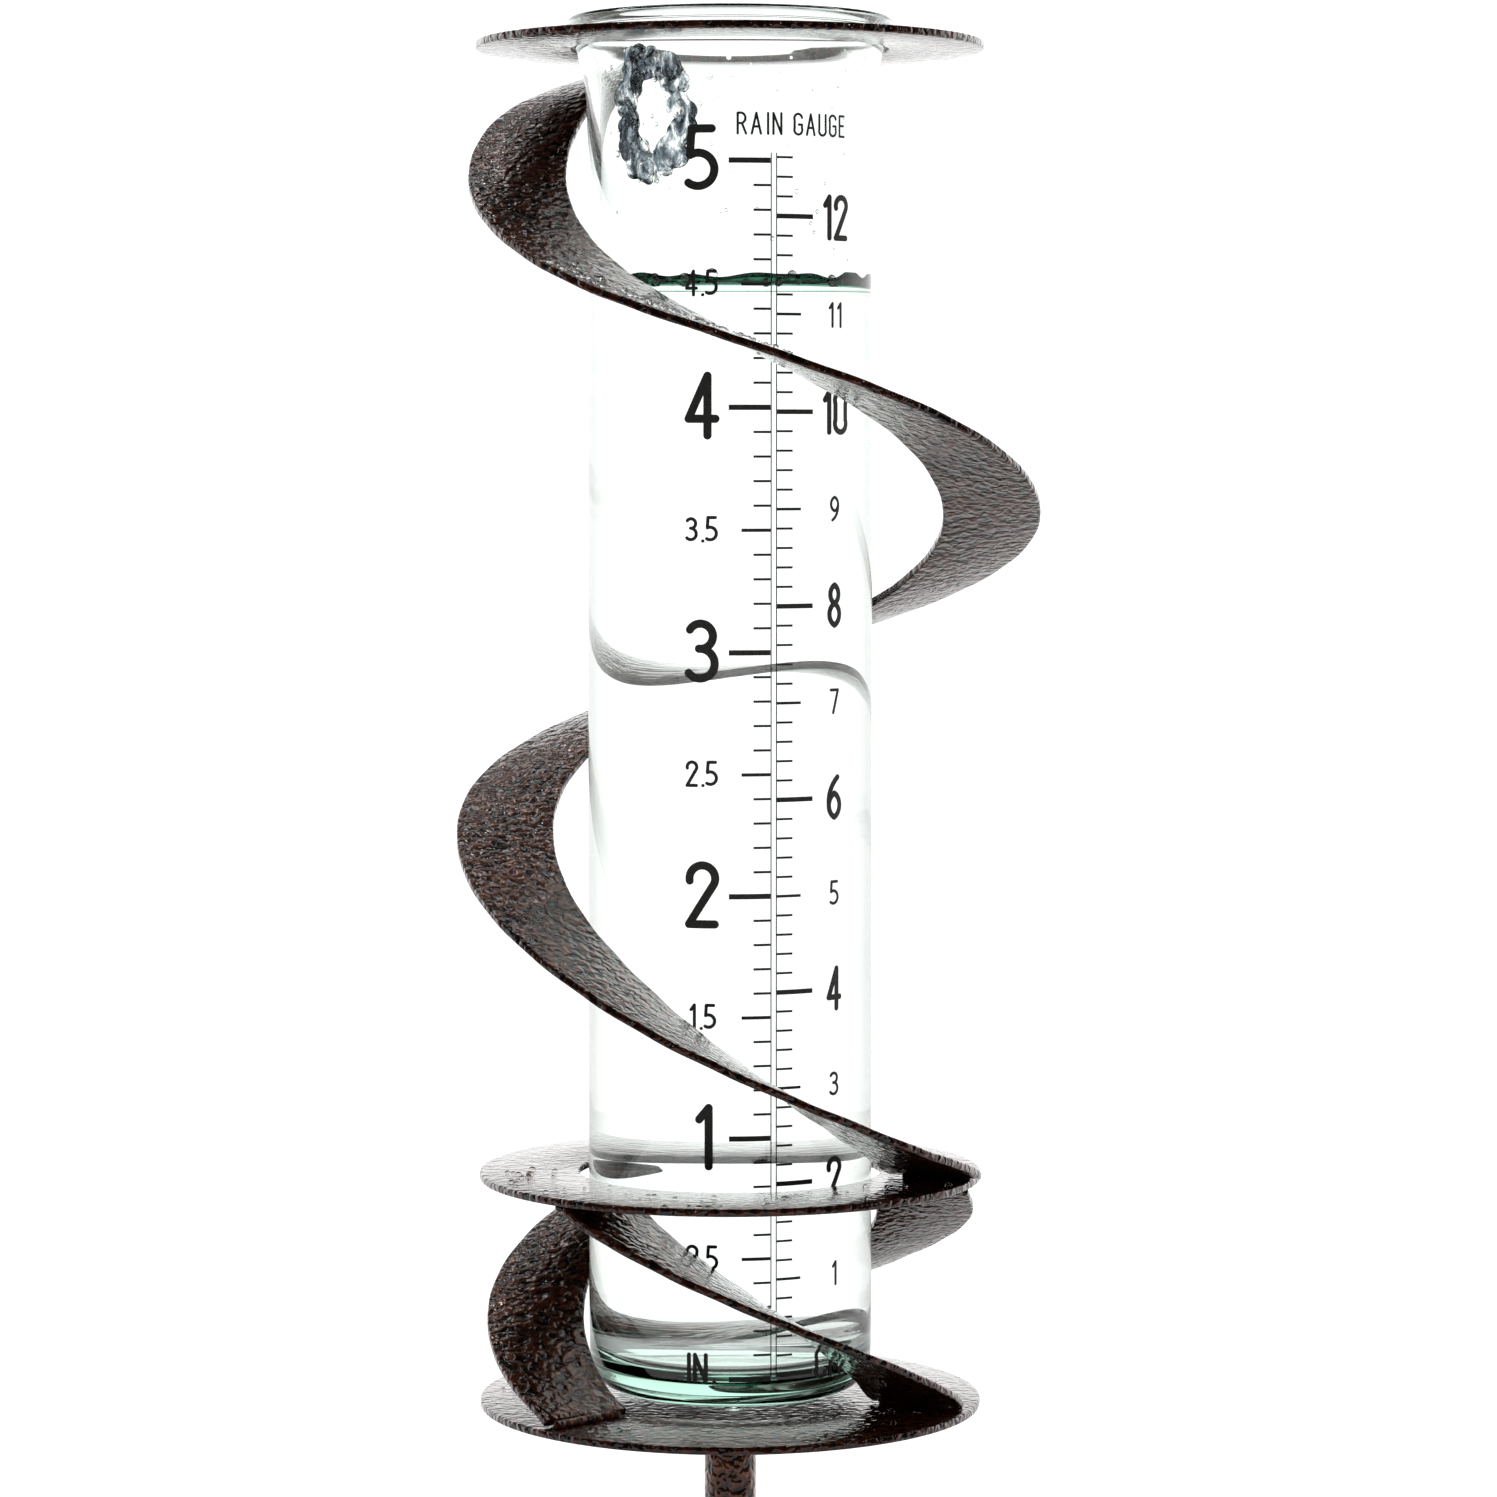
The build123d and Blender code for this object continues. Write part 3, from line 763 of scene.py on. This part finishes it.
def drops_in_tube(dice, level):
    """Drops inside the dry upper wall, a wet patch left by the last splash, and beads along the water."""
    drops = []
    level_mm = level / MM
    for _ in range(46):
        drops.append(on_wall(dice.uniform(205, 335), dice.uniform(level_mm + 4, 207), dice.uniform(0.15, 0.4)))
    for _ in range(22):
        drops.append(on_wall(dice.uniform(214, 262), dice.uniform(186, 207), dice.uniform(0.2, 0.6)))
    for _ in range(16):
        drops.append(on_wall(dice.uniform(200, 340), level_mm + dice.uniform(0.3, 1.6),
                             dice.uniform(0.4, 1.1), 0.25))
    drops.append((polar(17.2, 272, 1.75), Vector((0, 0, -1)), 1.7 * MM, 0.45))
    splash = []
    for step in range(150):
        turn = FULL_TURN * step / 150
        reach = dice.uniform(0.72, 1.2)
        azimuth = 236 + 15 * reach * math.cos(turn)
        height = 197 + 8.2 * reach * math.sin(turn)
        splash.append(on_wall(azimuth, height, dice.uniform(0.7, 1.9), 0.4))
    return drops, splash


def run_together(cluster, voxel):
    """Melts overlapping drops into one film."""
    melt = cluster.modifiers.new("melt", "REMESH")
    melt.mode = "VOXEL"
    melt.voxel_size = voxel
    melt.use_smooth_shade = True
    ease = cluster.modifiers.new("ease", "SMOOTH")
    ease.iterations = 2
    apply_modifiers(cluster)


def ragged_brim(water, brim, dice):
    """Lets the drawn-up edge of the water rise and fall round the wall."""
    waves = [(dice.randint(2, 24), dice.uniform(0, FULL_TURN), dice.uniform(0.05, 0.2)) for _ in range(12)]
    for vertex in water.data.vertices:
        if vertex.co.z > brim + 0.4 * MM:
            turn = math.atan2(vertex.co.y, vertex.co.x)
            lift = sum(size * math.sin(count * turn + phase) for count, phase, size in waves)
            vertex.co.z += max(-1.0, min(0.5, lift)) * MM * (vertex.co.z - brim) / (1.7 * MM)


# ---------------------------------------------------------------- operators

class RAINGAUGE_OT_ribbons(bpy.types.Operator):
    """Roll the main spiral and the three lower ribbons"""
    bl_idname = "raingauge.ribbons"
    bl_label = "Ribbons"

    def execute(self, context):
        sizes = context.scene.rain_gauge_sizes
        make_ribbon("main_spiral", spiral_points(), sizes, *coats(context))
        for name, (start, end) in LOWER_RIBBONS.items():
            make_ribbon(name, lower_points(start, end), sizes, *coats(context))
        return {"FINISHED"}


class RAINGAUGE_OT_plates(bpy.types.Operator):
    """Turn the top ring, the middle ring and the base disc"""
    bl_idname = "raingauge.plates"
    bl_label = "Rings and disc"

    def execute(self, context):
        sizes = context.scene.rain_gauge_sizes
        make_plate("top_ring", TOP_RING_TOP, TOP_HOLE, sizes, *coats(context))
        make_plate("middle_ring", MIDDLE_RING_TOP, MIDDLE_HOLE, sizes, *coats(context))
        make_plate("base_disc", DISC_TOP, 0, sizes, *coats(context))
        return {"FINISHED"}


class RAINGAUGE_OT_welds(bpy.types.Operator):
    """Lay the weld beads at the ribbons' ends and round the stake"""
    bl_idname = "raingauge.welds"
    bl_label = "Welds"

    def execute(self, context):
        coat = coats(context)[0]
        dice = random.Random(4)
        ring_under = (TOP_RING_TOP - SHEET - DISC_TOP) / MM - WELD_DEPTH
        middle_top = (MIDDLE_RING_TOP - DISC_TOP) / MM + WELD_DEPTH
        middle_under = (MIDDLE_RING_TOP - SHEET - DISC_TOP) / MM - WELD_DEPTH
        first, last = SPIRAL_STATIONS[0][0] - WELD_TURN, SPIRAL_STATIONS[-1][0] + WELD_TURN
        groups = {
            "top_ring_weld": [(28.5, 37.0, first, ring_under)],
            "middle_ring_welds": [(28.0, 37.5, last, middle_top)]
            + [(26.0, 36.5, start - WELD_TURN, middle_under) for start, _ in LOWER_RIBBONS.values()],
            "base_disc_welds": [(24.5, 36.5, end + WELD_TURN, WELD_DEPTH) for _, end in LOWER_RIBBONS.values()],
        }
        for node, runs in groups.items():
            beads = []
            for index, run in enumerate(runs):
                places = radial_places(*run, dice)
                beads.append(bead_row(f"{node}_bead_{index + 1}", places, WELD_RADIUS * MM, 0.14 * MM))
            pick(*beads)
            if len(beads) > 1:
                bpy.ops.object.join()
            dress(bpy.context.object, coat, "holder", "bronze_coat", node)
        places = []
        for step in range(30):
            turn = FULL_TURN * step / 30
            reach = STAKE_RADIUS + dice.uniform(0.35, 0.5) * MM
            places.append((reach * math.cos(turn), reach * math.sin(turn), DISC_TOP - SHEET - 0.55 * MM))
        fillet = bead_row("stake_fillet_weld", places, 1.15 * MM, 0.18 * MM)
        dress(fillet, coat, "holder", "bronze_coat", "stake_weld")
        return {"FINISHED"}


class RAINGAUGE_OT_stake(bpy.types.Operator):
    """Cut, drill and point the two halves of the stake"""
    bl_idname = "raingauge.stake"
    bl_label = "Stake"

    def execute(self, context):
        coat = coats(context)[0]
        upper = make_rod("upper_stake_rod", STAKE_JOINT, DISC_TOP - SHEET)
        drill(upper, STAKE_JOINT, -HOLE_DEPTH, HOLE_RADIUS)
        finish_rod(upper, coat, "holder", "upper_stake")
        lower = make_rod("lower_stake_rod", STAKE_TIP + POINT_LENGTH, STAKE_JOINT)
        select_cap(lower, STAKE_TIP + POINT_LENGTH)
        bpy.ops.mesh.extrude_region_move(TRANSFORM_OT_translate={"value": (0, 0, -POINT_LENGTH)})
        squeeze = POINT_RADIUS / STAKE_RADIUS
        bpy.ops.transform.resize(value=(squeeze, squeeze, 1), center_override=(0, 0, STAKE_TIP))
        bpy.ops.mesh.bevel(offset=0.25 * MM, segments=2)
        bpy.ops.object.mode_set(mode="OBJECT")
        drill(lower, STAKE_JOINT, HOLE_DEPTH, HOLE_RADIUS)
        finish_rod(lower, coat, "lower_stake", "lower_stake")
        return {"FINISHED"}


class RAINGAUGE_OT_stud(bpy.types.Operator):
    """Roll the thread of the stud that joins the stake"""
    bl_idname = "raingauge.stud"
    bl_label = "Stud"

    def execute(self, context):
        turns = round((STUD_TOP - STUD_BOTTOM) / STUD_PITCH) + 2
        start = STUD_BOTTOM - STUD_PITCH
        deselect()
        bpy.ops.curve.primitive_bezier_curve_add(location=(0, 0, 0))
        ridge = bpy.context.object
        spline = ridge.data.splines[0]
        section = [(STUD_ROOT, 0.0), (STUD_CREST, 0.44), (STUD_CREST, 0.56), (STUD_ROOT, 1.0)]
        spline.bezier_points.add(len(section) - len(spline.bezier_points))
        for point, (radius, part) in zip(spline.bezier_points, section):
            point.co = (radius, 0, start + part * STUD_PITCH)
            point.handle_left_type = point.handle_right_type = "VECTOR"
        spline.resolution_u = 1
        pick(ridge)
        bpy.ops.object.convert(target="MESH")
        stud = bpy.context.object
        stud.name = stud.data.name = "stud_thread"
        thread = stud.modifiers.new("thread", "SCREW")
        thread.screw_offset = STUD_PITCH
        thread.iterations = turns
        thread.steps = thread.render_steps = 40
        thread.use_merge_vertices = True
        apply_modifiers(stud)
        bpy.ops.object.mode_set(mode="EDIT")
        for height, side in ((STUD_BOTTOM, 1), (STUD_TOP, -1)):
            bpy.ops.mesh.select_all(action="SELECT")
            bpy.ops.mesh.bisect(plane_co=(0, 0, height), plane_no=(0, 0, side), use_fill=True, clear_inner=True)
        bpy.ops.object.mode_set(mode="OBJECT")
        clean(stud, 0.002 * MM)
        pick(stud)
        bpy.ops.object.shade_smooth_by_angle(angle=math.radians(30))
        dress(stud, zinc_plate(context.scene.rain_gauge_colours), "stake_stud", "zinc_steel", "stake_stud")
        return {"FINISHED"}


class RAINGAUGE_OT_tube(bpy.types.Operator):
    """Blow the glass measuring tube"""
    bl_idname = "raingauge.tube"
    bl_label = "Glass tube"

    def execute(self, context):
        sizes = context.scene.rain_gauge_sizes
        tube = lathe("measuring_tube", tube_outline(), sizes.lathe_steps, closed=False)
        dress(tube, clear_glass(context.scene.rain_gauge_colours), "tube", "glass", "glass_tube")
        return {"FINISHED"}


class RAINGAUGE_OT_water(bpy.types.Operator):
    """Fill the tube with rain, as scenery that isn't part of the gauge"""
    bl_idname = "raingauge.water"
    bl_label = "Rain water"

    def execute(self, context):
        sizes = context.scene.rain_gauge_sizes
        water = lathe("water", water_outline(sizes.water_level), sizes.lathe_steps, closed=False)
        water.data.materials.append(rain_water())
        water.data.materials.append(water_edge(context.scene.rain_gauge_colours))
        brim = DISC_TOP + sizes.water_level
        ragged_brim(water, brim, random.Random(2))
        for face in water.data.polygons:
            if face.center.z > brim + 0.05 * MM:
                face.material_index = 1
        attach(water, "tube")
        return {"FINISHED"}


class RAINGAUGE_OT_drops(bpy.types.Operator):
    """Leave rain drops on the gauge, as scenery that isn't part of it"""
    bl_idname = "raingauge.drops"
    bl_label = "Rain drops"

    def execute(self, context):
        water = bpy.data.materials.get("rain_water") or rain_water()
        dice = random.Random(11)
        drop_cluster("drops_on_spiral", drops_on_spiral(dice) + drops_on_plates(dice), water, "holder")
        drops, splash = drops_in_tube(dice, context.scene.rain_gauge_sizes.water_level)
        drop_cluster("drops_in_tube", drops, water, "tube")
        film = wet_film_painted_refraction(context.scene.rain_gauge_colours)
        run_together(drop_cluster("wet_patch_in_tube", splash, film, "tube"), 0.2 * MM)
        return {"FINISHED"}


class RAINGAUGE_OT_print(bpy.types.Operator):
    """Ink the scales, the numerals and the title on the tube"""
    bl_idname = "raingauge.print"
    bl_label = "Printed scale"

    def execute(self, context):
        ink = screen_ink(context.scene.rain_gauge_colours)
        for name, node in frame["nodes"].items():
            if name.endswith("_print"):
                node.data.materials.clear()
                node.data.materials.append(ink)
        return {"FINISHED"}


class RAINGAUGE_OT_stage(bpy.types.Operator):
    """Set the floor, the soft studio light and the camera"""
    bl_idname = "raingauge.stage"
    bl_label = "Stage"

    def execute(self, context):
        self.make_floor(context.scene.rain_gauge_colours)
        self.make_world(context)
        self.make_lights()
        self.make_camera(context)
        context.scene.view_settings.view_transform = "Standard"
        return {"FINISHED"}

    def make_floor(self, colours):
        """Pale sweep that turns to plain white away from the gauge."""
        deselect()
        bpy.ops.mesh.primitive_circle_add(vertices=128, radius=1.3, fill_type="NGON",
                                          location=(0, 0, STAKE_TIP - 0.1 * MM))
        floor = bpy.context.object
        floor.name = "studio_floor"
        settle(floor)
        material = new_material("studio_floor")
        tree = material.node_tree
        place = add_node(tree, "ShaderNodeTexCoord").outputs["Object"]
        away = add_node(tree, "ShaderNodeVectorMath", {"operation": "LENGTH"}, {0: place})
        path = add_node(tree, "ShaderNodeLightPath")
        mirrored = add_node(tree, "ShaderNodeMath", {"operation": "SUBTRACT", "use_clamp": True},
                            {0: path.outputs["Is Glossy Ray"], 1: path.outputs["Is Transmission Ray"]})
        tone = add_node(tree, "ShaderNodeMix", {"data_type": "RGBA", 6: linear(colours.floor), 7: grey(0.5)},
                        {"Factor": mirrored.outputs[0]})
        glow = add_node(tree, "ShaderNodeMapRange",
                        {"From Min": 0.3, "From Max": 1.2, "To Min": 0.2, "To Max": 0.8},
                        {"Value": away.outputs["Value"]})
        shader = add_node(tree, "ShaderNodeBsdfPrincipled",
                          {"Roughness": 0.9, "Specular IOR Level": 0.0, "Emission Color": grey(1.0)},
                          {"Base Color": tone.outputs[2], "Emission Strength": glow.outputs["Result"]})
        add_node(tree, "ShaderNodeOutputMaterial", {}, {"Surface": shader.outputs["BSDF"]})
        floor.data.materials.append(material)

    def make_world(self, context):
        """Bright backdrop behind the gauge and dim room in front of it and above, as gloss shows them, with
        pale walls at the sides that the glass gathers along its edges. The eye sees plain white all round."""
        world = bpy.data.worlds.new("studio")
        world.use_nodes = True
        tree = world.node_tree
        tree.nodes.clear()
        direction = add_node(tree, "ShaderNodeTexCoord").outputs["Generated"]
        axes = add_node(tree, "ShaderNodeSeparateXYZ", {}, {0: direction}).outputs
        lift = add_node(tree, "ShaderNodeMapRange", {"From Min": -1.0}, {"Value": axes["Z"]})
        rise = add_node(tree, "ShaderNodeValToRGB",
                        {"stops": [(part, grey(light)) for part, light in GLOSS_SKY]},
                        {"Fac": lift.outputs["Result"]})
        behind = add_node(tree, "ShaderNodeMapRange",
                          {"From Min": -0.05, "From Max": 0.5, "To Min": 0.01, "To Max": 1.45},
                          {"Value": axes["Y"]})
        gloss = add_node(tree, "ShaderNodeVectorMath", {"operation": "SCALE"},
                         {0: rise.outputs["Color"], "Scale": behind.outputs["Result"]})
        path = add_node(tree, "ShaderNodeLightPath")
        mirrored = add_node(tree, "ShaderNodeMath", {"operation": "SUBTRACT", "use_clamp": True},
                            {0: path.outputs["Is Glossy Ray"], 1: path.outputs["Is Transmission Ray"]})
        across = add_node(tree, "ShaderNodeMath", {"operation": "ABSOLUTE"}, {0: axes["X"]})
        walls = add_node(tree, "ShaderNodeValToRGB",
                         {"stops": [(0.55, grey(WHITE)), (0.78, (0.92, 0.895, 0.88, 1.0))]},
                         {"Fac": across.outputs[0]})
        seen = add_node(tree, "ShaderNodeMix", {"data_type": "RGBA", 7: grey(WHITE)},
                        {"Factor": path.outputs["Is Camera Ray"], 6: walls.outputs["Color"]})
        soft = add_node(tree, "ShaderNodeMix", {"data_type": "RGBA", 7: grey(0.35)},
                        {"Factor": path.outputs["Is Diffuse Ray"], 6: seen.outputs[2]})
        colour = add_node(tree, "ShaderNodeMix", {"data_type": "RGBA"},
                          {"Factor": mirrored.outputs[0], 6: soft.outputs[2], 7: gloss.outputs[0]})
        background = add_node(tree, "ShaderNodeBackground", {"Strength": 1.0}, {"Color": colour.outputs[2]})
        add_node(tree, "ShaderNodeOutputWorld", {}, {"Surface": background.outputs["Background"]})
        context.scene.world = world

    def make_lights(self):
        """Soft boxes above and in front, for the glints along the coated edges. They leave the glass alone,
        as a studio flags them off it."""
        coated = bpy.data.collections.new("coated_pieces")
        for piece in bpy.data.objects:
            if piece.type == "MESH" and piece.data.materials and "coat" in piece.data.materials[0].name:
                coated.objects.link(piece)
        middle = Vector((0, 0, DISC_TOP + AIM_HEIGHT))
        for name, place, size, power in SOFT_BOXES:
            deselect()
            bpy.ops.object.light_add(type="AREA", location=place)
            light = bpy.context.object
            light.name = name
            light.data.size = size
            light.data.energy = power
            light.light_linking.receiver_collection = coated
            light.rotation_euler = (Vector(place) - middle).to_track_quat("Z", "Y").to_euler()

    def make_camera(self, context):
        """Level with the upper half of the tube, looking slightly down."""
        deselect()
        bpy.ops.object.camera_add(location=CAMERA_PLACE)
        camera = bpy.context.object
        camera.rotation_euler = (math.radians(CAMERA_PITCH), 0, 0)
        camera.data.sensor_width = 36.0
        camera.data.lens = CAMERA_LENS
        camera.data.clip_start = 0.05
        camera.data.clip_end = 50.0
        context.scene.camera = camera


class RAINGAUGE_PT_panel(bpy.types.Panel):
    """Lists the steps that build the rain gauge"""
    bl_idname = "RAINGAUGE_PT_panel"
    bl_label = "Rain Gauge"
    bl_space_type = "VIEW_3D"
    bl_region_type = "UI"
    bl_category = "Rain Gauge"

    def draw(self, context):
        for group in (context.scene.rain_gauge_sizes, context.scene.rain_gauge_colours):
            for name in group.__annotations__:
                self.layout.prop(group, name)
        for operator in OPERATORS:
            self.layout.operator(operator.bl_idname)


OPERATORS = [
    RAINGAUGE_OT_ribbons,
    RAINGAUGE_OT_plates,
    RAINGAUGE_OT_welds,
    RAINGAUGE_OT_stake,
    RAINGAUGE_OT_stud,
    RAINGAUGE_OT_tube,
    RAINGAUGE_OT_print,
    RAINGAUGE_OT_water,
    RAINGAUGE_OT_drops,
    RAINGAUGE_OT_stage,
]
CLASSES = [RainGaugeSizes, RainGaugeColours, *OPERATORS, RAINGAUGE_PT_panel]


def register():
    for item in CLASSES:
        bpy.utils.register_class(item)
    bpy.types.Scene.rain_gauge_sizes = bpy.props.PointerProperty(type=RainGaugeSizes)
    bpy.types.Scene.rain_gauge_colours = bpy.props.PointerProperty(type=RainGaugeColours)


def unregister():
    del bpy.types.Scene.rain_gauge_sizes
    del bpy.types.Scene.rain_gauge_colours
    for item in reversed(CLASSES):
        bpy.utils.unregister_class(item)


def main():
    register()
    deselect()
    bpy.ops.raingauge.ribbons()
    bpy.ops.raingauge.plates()
    bpy.ops.raingauge.welds()
    bpy.ops.raingauge.stake()
    bpy.ops.raingauge.stud()
    bpy.ops.raingauge.tube()
    bpy.ops.raingauge.print()
    bpy.ops.raingauge.water()
    bpy.ops.raingauge.drops()
    bpy.ops.raingauge.stage()
    deselect()


if __name__ == "__main__":
    main()
